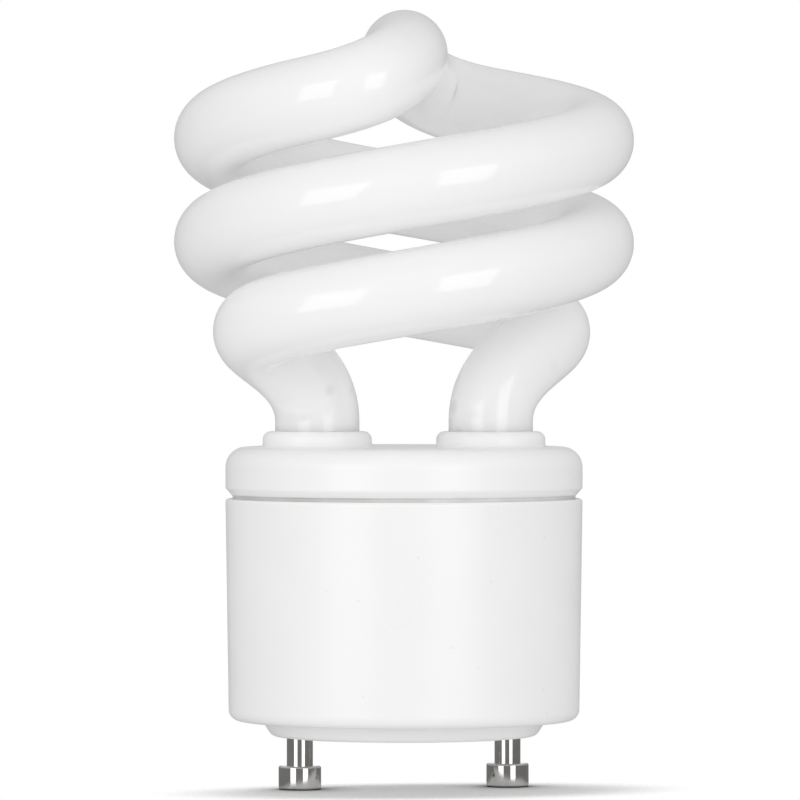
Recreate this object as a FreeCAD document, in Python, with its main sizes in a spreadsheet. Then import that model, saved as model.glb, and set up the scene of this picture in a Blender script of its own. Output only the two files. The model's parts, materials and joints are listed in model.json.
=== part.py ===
import FreeCAD
import Part
import Sketcher
import math
import os

Vector = FreeCAD.Vector
Rotation = FreeCAD.Rotation
Placement = FreeCAD.Placement
up = Vector(0, 0, 1)

# Driving sizes in millimetres and degrees, each with what it measures
sizes = [
    ("pin_spacing", 24.0, "between the axes of the two pins"),
    ("pin_head_diameter", 4.8, "wide end of a pin"),
    ("pin_head_height", 2.7, "height of the wide end"),
    ("pin_neck_diameter", 2.95, "thin part of a pin"),
    ("pin_neck_length", 3.25, "thin part below the boss"),
    ("pin_rounding", 0.25, "edges of the wide end"),
    ("pin_flange", 0.8, "overhang of the staked flange inside"),
    ("pin_flange_thickness", 0.7, "thickness of that flange"),
    ("pin_cup_height", 3.2, "solder cup above the flange"),
    ("boss_margin", 4.05, "edge of the boss beyond the pin axes"),
    ("boss_height", 1.75, "boss below the housing"),
    ("boss_draft", 1.1, "loss of radius of the boss toward its face"),
    ("boss_rounding", 1.0, "lower edge of the boss"),
    ("housing_diameter", 40.35, "housing at its rim"),
    ("housing_draft", 0.37, "loss of radius toward the floor"),
    ("housing_height", 25.05, "floor edge to rim"),
    ("housing_rounding", 1.25, "lower edge of the housing"),
    ("rim_rounding", 0.35, "edges along the shadow gap"),
    ("wall", 1.5, "wall and floor of the housing"),
    ("lip_depth", 4.8, "mouth of the housing round the skirt"),
    ("groove_height", 0.3, "shadow gap between housing and cover"),
    ("groove_depth", 0.8, "depth of the shadow gap"),
    ("flange_slope", 0.9, "height of the sloped lower edge of the cover"),
    ("cover_height", 5.55, "shadow gap to deck"),
    ("shoulder_rounding", 2.3, "upper edge of the cover"),
    ("deck_thickness", 1.5, "deck of the cover"),
    ("skirt_thickness", 1.0, "skirt inside the housing mouth"),
    ("collar_height", 1.75, "collar above the deck"),
    ("collar_wall", 1.4, "collar round the glass"),
    ("collar_lip", 1.2, "ring at the collar top that centres the leg"),
    ("collar_bead", 0.95, "upper edge of a collar"),
    ("collar_rounding", 0.4, "foot of a collar"),
    ("sleeve_depth", 3.2, "collar below the deck"),
    ("hook_height", 0.3, "snap hook beyond the skirt"),
    ("hook_length", 1.0, "snap hook along the skirt"),
    ("hook_angle", 20.0, "snap hook round the skirt"),
    ("hook_play", 1.0, "angle of a pocket beyond its hook"),
    ("cover_turn", -12.0, "line of the legs from the line of the pins"),
    ("joint_clearance", 0.05, "between parts that slide together"),
    ("board_clearance", 0.2, "round and above the board"),
    ("cement_thickness", 0.7, "cement between leg and sleeve"),
    ("tube_diameter", 9.53, "glass tube"),
    ("leg_offset", 9.8, "leg axis from the lamp axis"),
    ("leg_depth", 5.5, "leg below the deck"),
    ("leg_rounding", 2.4, "sealed end of a leg"),
    ("leg_straight", 1.1, "straight leg above the collar"),
    ("leg_reach", 9.65, "pull of the leg on the bend"),
    ("coil_reach", 17.6, "pull of the coil on the bend"),
    ("coil_radius", 21.2, "axis of the coiled tube"),
    ("coil_gap", 2.12, "between neighbouring turns along the axis"),
    ("coil_rise", 15.5, "deck to the start of the coil"),
    ("coil_start_turn", 63.0, "from the leg to the start of the coil"),
    ("coil_end_turn", 420.6, "from the leg to the end of the coil"),
    ("crown_rise", 5.9, "end of the coil to the crossing"),
    ("crown_turn", 91.5, "heading of the crossing from the line of the legs"),
    ("crown_outer_reach", 14.0, "pull of the coil on the crossing"),
    ("crown_inner_reach", 7.5, "pull of the axis on the crossing"),
    ("board_thickness", 1.6, "circuit board"),
    ("component_gap", 0.6, "between neighbouring components"),
    ("lead_diameter", 0.6, "component leads"),
    ("lead_tail", 0.8, "lead above the board"),
    ("lead_clearance", 0.15, "round a lead in the board"),
    ("core_width", 13.0, "choke core"),
    ("core_depth", 5.0, "choke core"),
    ("core_half_height", 6.2, "one half of the choke core"),
    ("core_back", 1.8, "back of a core half"),
    ("core_leg", 1.6, "outer leg of a core half"),
    ("core_centre", 3.0, "middle leg of a core half"),
    ("core_clearance", 0.1, "core in its bobbin"),
    ("bobbin_wall", 0.6, "tube of the bobbin"),
    ("bobbin_flange", 0.8, "flanges of the bobbin"),
    ("winding_gap", 0.8, "winding to the outer legs"),
    ("bulk_diameter", 9.5, "bulk capacitor"),
    ("bulk_length", 14.0, "bulk capacitor"),
    ("bulk_pitch", 4.5, "between its leads"),
    ("bulk_crimp", 0.475, "depth of its crimp"),
    ("film_width", 9.0, "resonant capacitor"),
    ("film_thickness", 4.4, "resonant capacitor"),
    ("film_height", 9.0, "resonant capacitor"),
    ("coupling_width", 7.0, "coupling capacitor"),
    ("coupling_thickness", 3.6, "coupling capacitor"),
    ("coupling_height", 7.0, "coupling capacitor"),
    ("capacitor_inset", 1.5, "lead from the end of a film capacitor"),
    ("capacitor_rounding", 1.0, "edges of a film capacitor"),
    ("transistor_width", 7.8, "switching transistor"),
    ("transistor_thickness", 2.8, "switching transistor"),
    ("transistor_height", 10.5, "switching transistor"),
    ("transistor_drop", 3.0, "board to its case"),
    ("transistor_pitch", 2.3, "between its leads"),
    ("transistor_hole", 3.2, "hole through its case"),
    ("ring_diameter", 8.0, "ferrite ring"),
    ("ring_hole", 4.4, "ferrite ring"),
    ("ring_thickness", 3.4, "ferrite ring"),
    ("ring_wire", 0.5, "winding on the ring"),
    ("ring_band", 1.4, "width of one winding"),
    ("ring_spread", 60.0, "between neighbouring windings"),
    ("ring_lead_pitch", 0.7, "between the leads of one winding"),
    ("diode_diameter", 2.4, "rectifier diode"),
    ("diode_length", 5.2, "rectifier diode"),
    ("diode_rounding", 0.3, "ends of a rectifier diode"),
    ("fuse_diameter", 3.2, "fusible resistor"),
    ("fuse_length", 8.0, "fusible resistor"),
    ("fuse_rounding", 0.4, "ends of the fusible resistor"),
    ("axial_drop", 1.5, "board to the body of a diode or resistor"),
    ("axial_bend", 0.9, "bend of its folded lead"),
    ("mains_wire", 0.8, "bare end of a mains lead"),
    ("mains_sleeve", 1.4, "insulated mains lead"),
    ("post_diameter", 0.9, "wrap post"),
    ("post_inset", 3.0, "post from the leg toward the lamp axis"),
    ("post_offset", 2.6, "post from the line of the legs"),
    ("post_clearance", 0.6, "post to the sealed end above it"),
    ("tube_lead_diameter", 0.4, "lead wire of the glass tube"),
    ("tube_lead_offset", 1.2, "lead wire from the leg axis"),
    ("tube_lead_drop", 1.4, "straight lead wire below the leg"),
    ("tube_lead_bend", 0.7, "bend of the lead wire"),
    ("wrap_pitch", 0.36, "between turns of the lead wire on its post"),
]

# Levels, radii and positions that follow from the driving sizes
places = [
    ("boss_bottom", "Sizes.pin_head_height + Sizes.pin_neck_length"),
    ("housing_bottom", "boss_bottom + Sizes.boss_height"),
    ("rim", "housing_bottom + Sizes.housing_height"),
    ("flange_bottom", "rim + Sizes.groove_height"),
    ("flange_edge", "flange_bottom + Sizes.flange_slope"),
    ("deck_top", "flange_bottom + Sizes.cover_height"),
    ("deck_under", "deck_top - Sizes.deck_thickness"),
    ("collar_top", "deck_top + Sizes.collar_height"),
    ("collar_step", "collar_top - Sizes.collar_lip"),
    ("sleeve_bottom", "deck_under - Sizes.sleeve_depth"),
    ("leg_foot", "deck_top - Sizes.leg_depth"),
    ("leg_top", "collar_top + Sizes.leg_straight"),
    ("cup_floor", "boss_bottom + Sizes.wall"),
    ("cup_step", "housing_bottom + Sizes.wall"),
    ("ledge", "rim - Sizes.lip_depth"),
    ("board_top", "ledge + Sizes.board_thickness"),
    ("skirt_bottom", "board_top + Sizes.board_clearance"),
    ("hook_bottom", "(skirt_bottom + rim - Sizes.hook_length) / 2"),
    ("rim_radius", "Sizes.housing_diameter / 2"),
    ("foot_radius", "rim_radius - Sizes.housing_draft"),
    ("boss_radius", "Sizes.pin_spacing / 2 + Sizes.boss_margin"),
    ("boss_inner", "boss_radius - Sizes.wall"),
    ("boss_face", "boss_radius - Sizes.boss_draft"),
    ("skirt_radius", "rim_radius - Sizes.groove_depth"),
    ("skirt_inner", "skirt_radius - Sizes.skirt_thickness"),
    ("lip_radius", "skirt_radius + Sizes.joint_clearance"),
    ("board_radius", "lip_radius - Sizes.board_clearance"),
    ("tube_radius", "Sizes.tube_diameter / 2"),
    ("collar_radius", "tube_radius + Sizes.collar_wall"),
    ("collar_bore", "tube_radius + Sizes.joint_clearance"),
    ("collar_reach", "Sizes.leg_offset + collar_radius + Sizes.collar_rounding"),
    ("shoulder_radius", "min(Sizes.shoulder_rounding; rim_radius - collar_reach - Sizes.joint_clearance)"),
    ("sleeve_bore", "tube_radius + Sizes.cement_thickness"),
    ("pin_radius", "Sizes.pin_neck_diameter / 2"),
    ("flange_top", "cup_floor + Sizes.pin_flange_thickness"),
    ("cup_top", "flange_top + Sizes.pin_cup_height"),
    ("cup_bore", "Sizes.mains_wire / 2 + Sizes.joint_clearance"),
    ("choke_top", "ledge - 3 * Sizes.core_clearance"),
    ("choke_middle", "choke_top - Sizes.core_half_height"),
    ("window_half", "Sizes.core_width / 2 - Sizes.core_leg"),
    ("former_x", "Sizes.core_centre / 2 + Sizes.core_clearance"),
    ("former_y", "Sizes.core_depth / 2 + Sizes.core_clearance"),
    ("former_z", "Sizes.core_half_height - Sizes.core_back - Sizes.core_clearance"),
    ("winding_depth", "window_half - Sizes.winding_gap - former_x - Sizes.bobbin_wall"),
    ("flange_x", "window_half - 2 * Sizes.core_clearance"),
    ("flange_y", "former_y + Sizes.bobbin_wall + winding_depth + 3 * Sizes.core_clearance"),
    ("rail_y", "(former_y + Sizes.core_clearance + flange_y) / 2"),
    ("bulk_y", "-(flange_y + Sizes.component_gap + Sizes.bulk_diameter / 2)"),
    ("film_y", "flange_y + Sizes.component_gap + Sizes.film_thickness / 2"),
    ("film_pitch", "(Sizes.film_thickness + Sizes.coupling_thickness) / 2 + Sizes.component_gap"),
    ("coupling_y", "film_y + film_pitch"),
    ("side_x", "Sizes.core_width / 2 + 2 * Sizes.component_gap"),
    ("side_y", "Sizes.mains_sleeve / 2 + Sizes.component_gap"),
    ("transistor_x", "-(side_x + Sizes.transistor_thickness / 2)"),
    ("transistor_y", "side_y + Sizes.transistor_width / 2"),
    ("ring_x", "side_x + Sizes.ring_thickness / 2 + Sizes.ring_wire"),
    ("ring_y", "side_y + Sizes.ring_diameter / 2 + Sizes.ring_wire"),
    ("ring_z", "ledge - Sizes.component_gap - Sizes.ring_wire - Sizes.ring_diameter / 2"),
    ("diode_fold", "(Sizes.diode_diameter + Sizes.lead_diameter) / 2 + Sizes.component_gap"),
    ("diode_x", "side_x + Sizes.diode_diameter / 2"),
    ("diode_y", "-(side_y + Sizes.component_gap + Sizes.diode_diameter / 2)"),
    ("diode_step_x", "Sizes.diode_diameter + Sizes.component_gap"),
    ("diode_step_y", "-2 * diode_fold"),
    ("fuse_fold", "(Sizes.fuse_diameter + Sizes.lead_diameter) / 2 + Sizes.component_gap"),
    ("fuse_x", "-((Sizes.bulk_diameter + Sizes.lead_diameter) / 2 + Sizes.component_gap + fuse_fold)"),
    ("fuse_pitch", "(Sizes.transistor_width + Sizes.fuse_diameter) / 2 + Sizes.component_gap"),
    ("fuse_y", "-(transistor_y + fuse_pitch)"),
    ("post_x", "Sizes.leg_offset - Sizes.post_inset"),
    ("post_top", "leg_foot - Sizes.post_clearance"),
    ("lead_end", "board_top + Sizes.lead_tail"),
]

hook_count = 4
coil_pieces = 8
wrap_turns = 3

doc = FreeCAD.newDocument("spiral_lamp")
nodes = []
board_holes = []


def make_sheet(name, rows):
    sheet = doc.addObject("Spreadsheet::Sheet", name)
    for number, row in enumerate(rows, start=1):
        sheet.set(f"A{number}", row[0])
        sheet.set(f"B{number}", row[1])
        sheet.setAlias(f"B{number}", row[0])
        sheet.set(f"C{number}", row[2])
    doc.recompute()
    return sheet


size = make_sheet("Sizes", [(name, str(value), note) for name, value, note in sizes])
place = make_sheet("Places", [(name, "=" + rule, "follows") for name, rule in places])


# Documents, bodies and sketches

def bind(item, **rules):
    for name, rule in rules.items():
        item.setExpression(name, rule)


def keep(item, label):
    item.Label = label
    nodes.append(item)
    return item


def new_body(label):
    return keep(doc.addObject("PartDesign::Body", label), label)


def datum(body, role):
    return [item for item in body.Origin.OriginFeatures if item.Role == role][0]


def new_sketch(body, role, level="0", turn=None):
    sketch = body.newObject("Sketcher::SketchObject", "Profile")
    sketch.AttachmentSupport = [(datum(body, role), "")]
    sketch.MapMode = "FlatFace"
    if turn:
        sketch.AttachmentOffset = Placement(Vector(), Rotation(Vector(0, 1, 0), 1))
        sketch.setExpression("AttachmentOffset.Rotation.Angle", turn)
    else:
        sketch.setExpression("AttachmentOffset.Base.z", level)
    return sketch


def locate(sketch, geometry, point, x, y):
    for kind, rule in (("DistanceX", x), ("DistanceY", y)):
        number = sketch.addConstraint(Sketcher.Constraint(kind, -1, 1, geometry, point, 1.0))
        sketch.setExpression(f"Constraints[{number}]", rule)


def add_outline(sketch, corners):
    count = len(corners)
    first = sketch.GeometryCount
    turns = [2 * math.pi * i / count for i in range(count)]
    ring = [Vector(math.cos(turn), math.sin(turn), 0) for turn in turns]
    for i in range(count):
        sketch.addGeometry(Part.LineSegment(ring[i], ring[(i + 1) % count]), False)
    for i in range(count):
        sketch.addConstraint(Sketcher.Constraint("Coincident", first + i, 2, first + (i + 1) % count, 1))
    for i, (x, y) in enumerate(corners):
        locate(sketch, first + i, 1, x, y)


def add_block(sketch, x, y, half_x, half_y):
    left, right = f"{x} - ({half_x})", f"{x} + ({half_x})"
    low, high = f"{y} - ({half_y})", f"{y} + ({half_y})"
    add_outline(sketch, [(left, low), (right, low), (right, high), (left, high)])


def add_circles(sketch, circles):
    for x, y, radius in circles:
        number = sketch.addGeometry(Part.Circle(Vector(0, 0, 0), up, 1.0), False)
        locate(sketch, number, 3, x, y)
        constraint = sketch.addConstraint(Sketcher.Constraint("Radius", number, 1.0))
        sketch.setExpression(f"Constraints[{constraint}]", radius)


def extrude(body, kind, sketch, length, both_ways=False, against=False):
    feature = body.newObject(f"PartDesign::{kind}", kind)
    feature.Profile = sketch
    feature.setExpression("Length", length)
    feature.SideType = "Symmetric" if both_ways else "One side"
    feature.Reversed = against
    doc.recompute()
    return feature


def turn_profile(body, kind, sketch, angle="360"):
    feature = body.newObject(f"PartDesign::{kind}", kind)
    feature.Profile = sketch
    feature.ReferenceAxis = (sketch, ["V_Axis"])
    feature.Midplane = True
    feature.setExpression("Angle", angle)
    doc.recompute()
    return feature


def repeat_round(body, feature, count):
    pattern = body.newObject("PartDesign::PolarPattern", "Round")
    pattern.Originals = [feature]
    pattern.Axis = (datum(body, "Z_Axis"), [""])
    pattern.Angle = 360
    pattern.Occurrences = count
    body.Tip = pattern
    doc.recompute()
    return pattern


def rings(shape, level, radius):
    names = []
    for number, edge in enumerate(shape.Edges, start=1):
        if edge.Curve.TypeId != "Part::GeomCircle":
            continue
        if abs(edge.Curve.Center.z - level) < 1e-4 and abs(edge.Curve.Radius - radius) < 1e-4:
            names.append(f"Edge{number}")
    return names


def upright_edges(shape):
    names = []
    for number, edge in enumerate(shape.Edges, start=1):
        if edge.Curve.TypeId == "Part::GeomLine" and abs(edge.tangentAt(edge.FirstParameter).z) > 0.99:
            names.append(f"Edge{number}")
    return names


def round_off(body, names, radius):
    feature = body.newObject("PartDesign::Fillet", "Rounding")
    feature.Base = (body.Tip if body.Tip != feature else feature.BaseFeature, names)
    feature.setExpression("Radius", radius)
    doc.recompute()
    return feature


# Solids from primitives

def box(x, y, z, half_x, half_y, height):
    item = doc.addObject("Part::Box", "Block")
    bind(item, Length=f"2 * ({half_x})", Width=f"2 * ({half_y})", Height=height)
    item.setExpression("Placement.Base.x", f"{x} - ({half_x})")
    item.setExpression("Placement.Base.y", f"{y} - ({half_y})")
    item.setExpression("Placement.Base.z", z)
    return item


def rod(x, y, z, radius, height):
    item = doc.addObject("Part::Cylinder", "Rod")
    bind(item, Radius=radius, Height=height)
    item.setExpression("Placement.Base.x", x)
    item.setExpression("Placement.Base.y", y)
    item.setExpression("Placement.Base.z", z)
    return item


def join(items):
    item = doc.addObject("Part::MultiFuse", "Join")
    item.Shapes = items
    return item


def take_away(base, tool):
    item = doc.addObject("Part::Cut", "Cut")
    item.Base = base
    item.Tool = tool
    return item


def solid_node(label, shape, placement=Placement()):
    item = doc.addObject("Part::Feature", label)
    item.Shape = shape
    item.Placement = placement
    return keep(item, label)


def sweep(edges, radius):
    first = edges[0]
    circle = Part.Circle(first.valueAt(first.FirstParameter), first.tangentAt(first.FirstParameter), radius)
    return Part.Wire(edges).makePipeShell([Part.Wire([circle.toShape()])], True, False)


def bent_wire(points, bend, radius):
    edges = []
    start = points[0]
    for before, corner, after in zip(points, points[1:], points[2:]):
        arrive = (corner - before).normalize()
        leave = (after - corner).normalize()
        half_turn = arrive.getAngle(leave) / 2
        reach = bend * math.tan(half_turn)
        middle = corner + (leave - arrive).normalize() * (bend / math.cos(half_turn) - bend)
        edges.append(Part.LineSegment(start, corner - arrive * reach).toShape())
        edges.append(Part.Arc(corner - arrive * reach, middle, corner + leave * reach).toShape())
        start = corner + leave * reach
    edges.append(Part.LineSegment(start, points[-1]).toShape())
    return sweep(edges, radius)


def drill_board(x, y, radius="Sizes.lead_diameter / 2"):
    board_holes.append((x, y, f"{radius} + Sizes.lead_clearance"))


def add_leads(body, spots, start):
    sketch = new_sketch(body, "XY_Plane", start)
    add_circles(sketch, [(x, y, "Sizes.lead_diameter / 2") for x, y in spots])
    extrude(body, "Pad", sketch, f"Places.lead_end - ({start})")
    for x, y in spots:
        drill_board(x, y)


# Spiral glass tube: leg, bend, coil and half of the crossing, then the same turned half way round

def make_tube():
    slope = (size.tube_diameter + size.coil_gap) / math.pi
    coil_start = math.pi + math.radians(size.coil_start_turn)
    coil_end = math.pi + math.radians(size.coil_end_turn)
    coil_level = place.deck_top + size.coil_rise

    def on_coil(angle):
        level = coil_level + slope * (angle - coil_start)
        return Vector(size.coil_radius * math.cos(angle), size.coil_radius * math.sin(angle), level)

    def along_coil(angle):
        return Vector(-size.coil_radius * math.sin(angle), size.coil_radius * math.cos(angle), slope)

    def curve(*poles):
        bezier = Part.BezierCurve()
        bezier.setPoles(list(poles))
        return bezier.toShape()

    foot = Vector(-size.leg_offset, 0, place.leg_foot)
    knee = Vector(-size.leg_offset, 0, place.leg_top)
    crown = Vector(0, 0, on_coil(coil_end).z + size.crown_rise)
    heading = Vector(math.cos(math.radians(size.crown_turn)), math.sin(math.radians(size.crown_turn)), 0)
    join_in = on_coil(coil_start) - along_coil(coil_start).normalize() * size.coil_reach
    join_out = on_coil(coil_end) + along_coil(coil_end).normalize() * size.crown_outer_reach

    path = [Part.LineSegment(foot, knee).toShape()]
    path.append(curve(knee, knee + up * size.leg_reach, join_in, on_coil(coil_start)))
    step = (coil_end - coil_start) / coil_pieces
    pull = 4 / 3 * math.tan(step / 4)
    for i in range(coil_pieces):
        low, high = coil_start + step * i, coil_start + step * (i + 1)
        path.append(curve(on_coil(low), on_coil(low) + along_coil(low) * pull,
                          on_coil(high) - along_coil(high) * pull, on_coil(high)))
    path.append(curve(on_coil(coil_end), join_out, crown - heading * size.crown_inner_reach, crown))

    second = Part.Wire(path)
    second.rotate(Vector(), up, 180)
    tube = sweep(path + list(reversed(second.Edges)), place.tube_radius)
    ends = [edge for edge in tube.Edges if abs(edge.BoundBox.ZMax - place.leg_foot) < 1e-6]
    tube = tube.makeFillet(size.leg_rounding, ends)
    solid_node("spiral_tube", tube, Placement(Vector(), Rotation(up, size.cover_turn)))


# Cover: deck, shoulder, skirt, two collars and the snap hooks

def make_cover():
    body = new_body("tube_cover")
    body.Placement = Placement(Vector(), Rotation(up, 1))
    body.setExpression("Placement.Rotation.Angle", "Sizes.cover_turn")
    profile = new_sketch(body, "XZ_Plane")
    add_outline(profile, [
        ("0", "Places.deck_top"), ("Places.rim_radius", "Places.deck_top"),
        ("Places.rim_radius", "Places.flange_edge"), ("Places.skirt_radius", "Places.flange_bottom"),
        ("Places.skirt_radius", "Places.skirt_bottom"), ("Places.skirt_inner", "Places.skirt_bottom"),
        ("Places.skirt_inner", "Places.deck_under"), ("0", "Places.deck_under")])
    turn_profile(body, "Revolution", profile)
    round_off(body, rings(body.Shape, place.deck_top, place.rim_radius), "Places.shoulder_radius")
    round_off(body, rings(body.Shape, place.flange_edge, place.rim_radius), "Sizes.rim_rounding")

    def leg_circles(radius, start):
        sketch = new_sketch(body, "XY_Plane", start)
        add_circles(sketch, [("-Sizes.leg_offset", "0", radius), ("Sizes.leg_offset", "0", radius)])
        return sketch

    height = "Places.collar_top - Places.sleeve_bottom"
    extrude(body, "Pad", leg_circles("Places.collar_radius", "Places.sleeve_bottom"), height)
    round_off(body, rings(body.Shape, place.collar_top, place.collar_radius), "Sizes.collar_bead")
    round_off(body, rings(body.Shape, place.deck_top, place.collar_radius), "Sizes.collar_rounding")
    bore = "Places.collar_step - Places.sleeve_bottom"
    extrude(body, "Pocket", leg_circles("Places.sleeve_bore", "Places.sleeve_bottom"), bore, against=True)
    extrude(body, "Pocket", leg_circles("Places.collar_bore", "Places.sleeve_bottom"), height, against=True)

    hook = new_sketch(body, "XZ_Plane")
    add_block(hook, "Places.skirt_radius", "Places.hook_bottom + Sizes.hook_length / 2",
              "Sizes.hook_height", "Sizes.hook_length / 2")
    repeat_round(body, turn_profile(body, "Revolution", hook, "Sizes.hook_angle"), hook_count)


# Housing: cup with a boss, a ledge for the board, a thin lip round the skirt and pockets for the hooks

def make_housing():
    body = new_body("ballast_housing")
    profile = new_sketch(body, "XZ_Plane")
    add_outline(profile, [
        ("0", "Places.boss_bottom"), ("Places.boss_face", "Places.boss_bottom"),
        ("Places.boss_radius", "Places.housing_bottom"), ("Places.foot_radius", "Places.housing_bottom"),
        ("Places.rim_radius", "Places.rim"), ("Places.lip_radius", "Places.rim"),
        ("Places.lip_radius", "Places.ledge"), ("Places.rim_radius - Sizes.wall", "Places.ledge"),
        ("Places.foot_radius - Sizes.wall", "Places.cup_step"), ("Places.boss_inner", "Places.cup_step"),
        ("Places.boss_inner", "Places.cup_floor"), ("0", "Places.cup_floor")])
    turn_profile(body, "Revolution", profile)
    round_off(body, rings(body.Shape, place.boss_bottom, place.boss_face), "Sizes.boss_rounding")
    round_off(body, rings(body.Shape, place.housing_bottom, place.foot_radius), "Sizes.housing_rounding")
    round_off(body, rings(body.Shape, place.rim, place.rim_radius), "Sizes.rim_rounding")

    holes = new_sketch(body, "XY_Plane", "Places.cup_floor")
    radius = "Places.pin_radius + Sizes.joint_clearance"
    add_circles(holes, [("-Sizes.pin_spacing / 2", "0", radius), ("Sizes.pin_spacing / 2", "0", radius)])
    extrude(body, "Pocket", holes, "Sizes.wall")

    hook = new_sketch(body, "XZ_Plane", turn="Sizes.cover_turn")
    add_block(hook, "Places.lip_radius", "Places.hook_bottom + Sizes.hook_length / 2",
              "Sizes.hook_height", "Sizes.hook_length / 2 + Sizes.joint_clearance")
    repeat_round(body, turn_profile(body, "Groove", hook, "Sizes.hook_angle + Sizes.hook_play"), hook_count)


# Contact pin: wide head, neck through the floor, staked flange and solder cup

def make_pin(number, side):
    body = new_body(f"contact_pin_{number}")
    body.setExpression("Placement.Base.x", f"{side} * Sizes.pin_spacing / 2")
    profile = new_sketch(body, "XZ_Plane")
    head = "Sizes.pin_head_diameter / 2"
    flange = "Places.pin_radius + Sizes.pin_flange"
    bore_end = "Places.flange_top + Sizes.pin_flange_thickness"
    add_outline(profile, [
        ("0", "0"), (head, "0"), (head, "Sizes.pin_head_height"),
        ("Places.pin_radius", "Sizes.pin_head_height"), ("Places.pin_radius", "Places.cup_floor"),
        (flange, "Places.cup_floor"), (flange, "Places.flange_top"),
        ("Places.pin_radius", "Places.flange_top"), ("Places.pin_radius", "Places.cup_top"),
        ("Places.cup_bore", "Places.cup_top"), ("Places.cup_bore", bore_end), ("0", bore_end)])
    turn_profile(body, "Revolution", profile)
    edges = []
    for level in (0, size.pin_head_height):
        edges += rings(body.Shape, level, size.pin_head_diameter / 2)
    round_off(body, edges, "Sizes.pin_rounding")


# Mains lead: bare wire from the solder cup through the board, insulated between

def make_mains_lead(number, side):
    x = f"{side} * Sizes.pin_spacing / 2"
    start = "Places.flange_top + Sizes.pin_flange_thickness + Sizes.joint_clearance"
    core = rod(x, "0", start, "Sizes.mains_wire / 2", f"Places.lead_end - ({start})")
    low, high = "Places.cup_top + Sizes.joint_clearance", "Places.ledge - Sizes.board_clearance"
    sleeve = rod(x, "0", low, "Sizes.mains_sleeve / 2", f"{high} - ({low})")
    keep(join([core, sleeve]), f"mains_lead_{number}")
    drill_board(x, "0", "Sizes.mains_wire / 2")


# Cement between a leg and its sleeve

def make_cement(number, side):
    turn = "Sizes.cover_turn * 1 deg"
    x = f"{side} * Sizes.leg_offset * cos({turn})"
    y = f"{side} * Sizes.leg_offset * sin({turn})"
    height = "Places.collar_step - Places.sleeve_bottom - Sizes.joint_clearance"
    outer = rod(x, y, "Places.sleeve_bottom", "Places.sleeve_bore - Sizes.joint_clearance / 2", height)
    inner = rod(x, y, "Places.sleeve_bottom", "Places.tube_radius + Sizes.joint_clearance / 2", height)
    keep(take_away(outer, inner), f"cement_ring_{number}")


# Choke: two E halves, bobbin with four pins, winding

def make_core(label, side):
    body = new_body(label)
    profile = new_sketch(body, "XZ_Plane")
    middle = "Places.choke_middle"
    back = f"{middle} + {side} * Sizes.core_half_height"
    inside = f"{middle} + {side} * (Sizes.core_half_height - Sizes.core_back)"
    half, centre = "Sizes.core_width / 2", "Sizes.core_centre / 2"
    add_outline(profile, [
        (f"-{half}", back), (half, back), (half, middle), ("Places.window_half", middle),
        ("Places.window_half", inside), (centre, inside), (centre, middle), (f"-{centre}", middle),
        (f"-{centre}", inside), ("-Places.window_half", inside), ("-Places.window_half", middle),
        (f"-{half}", middle)])
    extrude(body, "Pad", profile, "Sizes.core_depth", both_ways=True)


def make_bobbin():
    low = "Places.choke_middle - Places.former_z"
    height = "2 * Places.former_z"
    flange = "Sizes.bobbin_flange"
    top = f"Places.choke_middle + Places.former_z - {flange}"
    rail_half = "(Places.flange_y - Places.former_y - Sizes.core_clearance) / 2"
    tube_x, tube_y = "Places.former_x + Sizes.bobbin_wall", "Places.former_y + Sizes.bobbin_wall"
    blocks = [box("0", "0", low, tube_x, tube_y, height)]
    for level in (low, top):
        blocks.append(box("0", "0", level, "Places.flange_x", "Places.flange_y", flange))
    hole = box("0", "0", low, "Places.former_x", "Places.former_y", height)
    frame = [take_away(join(blocks), hole)]
    for side in (-1, 1):
        rail = f"{side} * Places.rail_y"
        frame.append(box("0", rail, top, "Places.flange_x", rail_half, f"Places.ledge - ({top})"))
        for end in (-1, 1):
            pin = f"{end} * (Places.flange_x - 2 * Sizes.lead_diameter)"
            frame.append(rod(pin, rail, top, "Sizes.lead_diameter / 2", f"Places.lead_end - ({top})"))
            drill_board(pin, rail)
    keep(join(frame), "choke_bobbin")


def make_winding():
    body = new_body("choke_winding")
    start = "Places.choke_middle - Places.former_z + Sizes.bobbin_flange + Sizes.joint_clearance"
    sketch = new_sketch(body, "XY_Plane", start)
    inner_x = "Places.former_x + Sizes.bobbin_wall + Sizes.joint_clearance"
    inner_y = "Places.former_y + Sizes.bobbin_wall + Sizes.joint_clearance"
    add_block(sketch, "0", "0", f"{inner_x} + Places.winding_depth", f"{inner_y} + Places.winding_depth")
    height = "2 * (Places.former_z - Sizes.bobbin_flange - Sizes.joint_clearance)"
    extrude(body, "Pad", sketch, height)
    round_off(body, upright_edges(body.Shape), "Places.winding_depth")
    hole = new_sketch(body, "XY_Plane", start)
    add_block(hole, "0", "0", inner_x, inner_y)
    extrude(body, "Pocket", hole, height, against=True)


# Capacitors: a rolled can with a crimp, and two dipped blocks

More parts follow.
